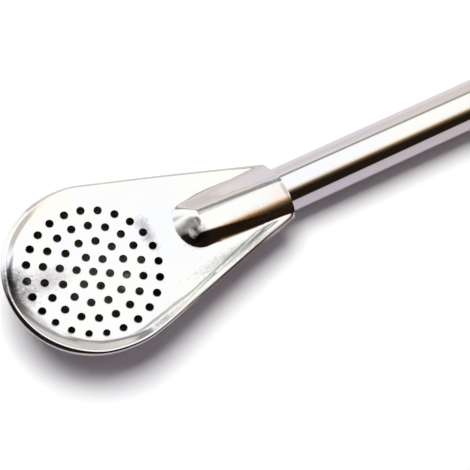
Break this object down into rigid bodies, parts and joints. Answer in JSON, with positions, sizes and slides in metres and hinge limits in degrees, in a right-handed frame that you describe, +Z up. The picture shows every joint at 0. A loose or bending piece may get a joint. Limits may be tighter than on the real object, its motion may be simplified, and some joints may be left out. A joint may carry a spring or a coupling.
{
  "type": "bombilla",
  "caption": "Mate drinking straw: spoon-shaped head of a perforated strainer plate on a closed bowl, with a plain tube stem that pulls out of its neck and ends in a flattened mouth.",
  "frame": {"origin": "middle of the part's box, on the plane it lies on", "axes": "+X along the stem towards the mouth, +Z up out of the strainer's face, +Y across the head"},
  "size_m": [0.19, 0.0286, 0.0101],
  "materials": {
    "polished_sheet": "stamped stainless steel sheet, buffed to a mirror with fine polishing lines",
    "polished_tube": "drawn stainless steel tube, mirror-polished"
  },
  "bodies": {
    "head": {"strainer_plate": "polished_sheet", "bowl_shell": "polished_sheet"},
    "stem": {"stem_tube": "polished_tube"}
  },
  "joints": [
    {"name": "stem_pull", "type": "slide", "parent": "head", "child": "stem", "axis": [1, 0, 0], "range_m": [0, 0.018]}
  ]
}
